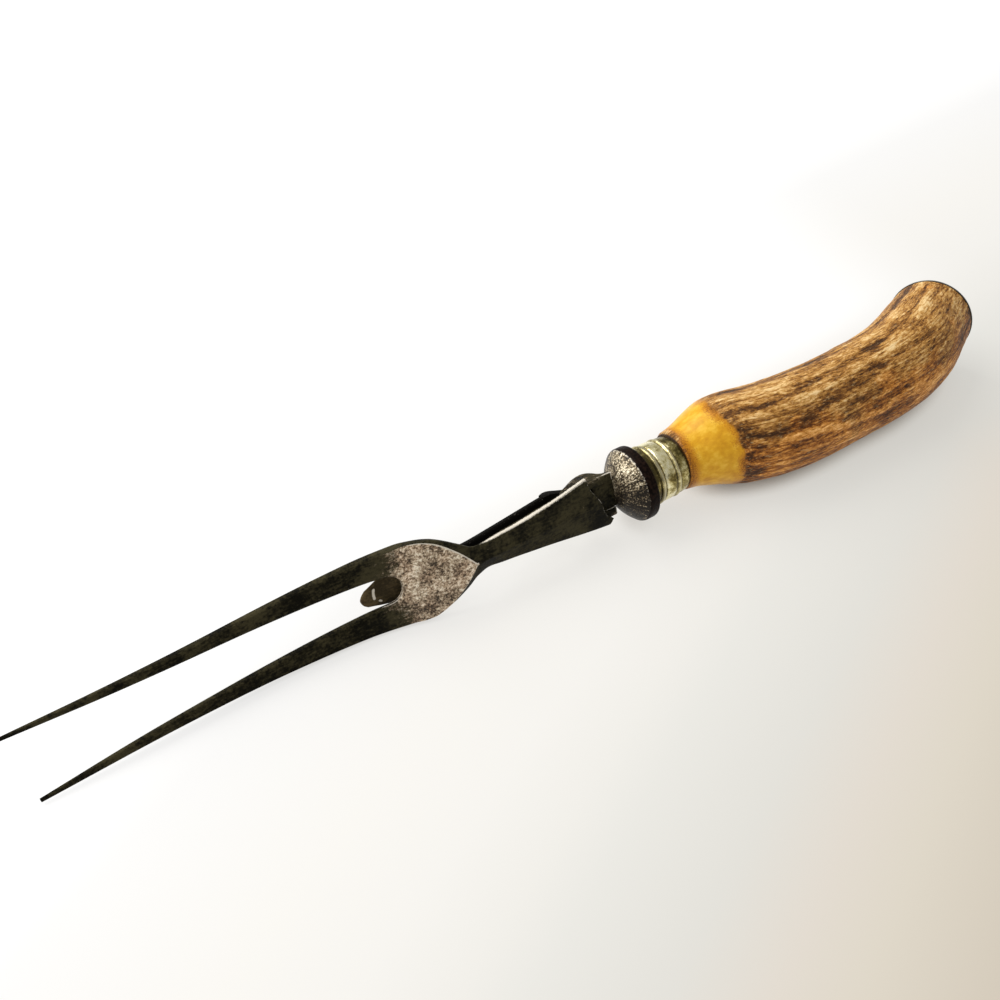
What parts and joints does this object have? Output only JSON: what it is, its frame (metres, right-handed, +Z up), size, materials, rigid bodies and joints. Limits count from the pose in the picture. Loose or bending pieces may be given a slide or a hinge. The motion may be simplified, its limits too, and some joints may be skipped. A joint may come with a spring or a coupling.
{
  "type": "carving fork",
  "caption": "Carving fork lying on its side: forged steel tines and shank, folding hand guard with a leaf spring, round bolster, beaded ferrule and a curved antler handle with a domed cap.",
  "frame": {"origin": "middle of the bounding box's base, on the table that the fork lies on", "axes": "+X along the fork from the tips of the tines to the butt of the handle, +Y towards the back of the fork where the guard folds, +Z up"},
  "size_m": [0.2967, 0.04, 0.0281],
  "materials": {
    "forged_steel": "blackened by age, worn bright on the shoulder's face and the bolster",
    "guard_steel": "blackened by age with rubbed edges",
    "spring_steel": "dark, satin",
    "nickel_silver": "tarnished in spots",
    "antler": "polished amber at the ferrule, ridged brown bark behind",
    "resin": "dull",
    "dark_cap": "dark, satin"
  },
  "bodies": {
    "fork": {"fork_blade": "forged_steel", "guard_pin": "spring_steel", "guard_spring": "spring_steel", "spring_screw": "spring_steel", "ferrule": "nickel_silver", "tang_cement": "resin", "handle": "antler", "butt_cap": "dark_cap", "cap_nail": "dark_cap"},
    "guard_arm": {"guard": "guard_steel"}
  },
  "joints": [
    {"name": "guard_hinge", "type": "hinge", "parent": "fork", "child": "guard_arm", "pos_m": [0.00421, 0.00148, 0.01256], "axis": [0.0149, -0.279, -0.9602], "range_deg": [0, 95]}
  ]
}
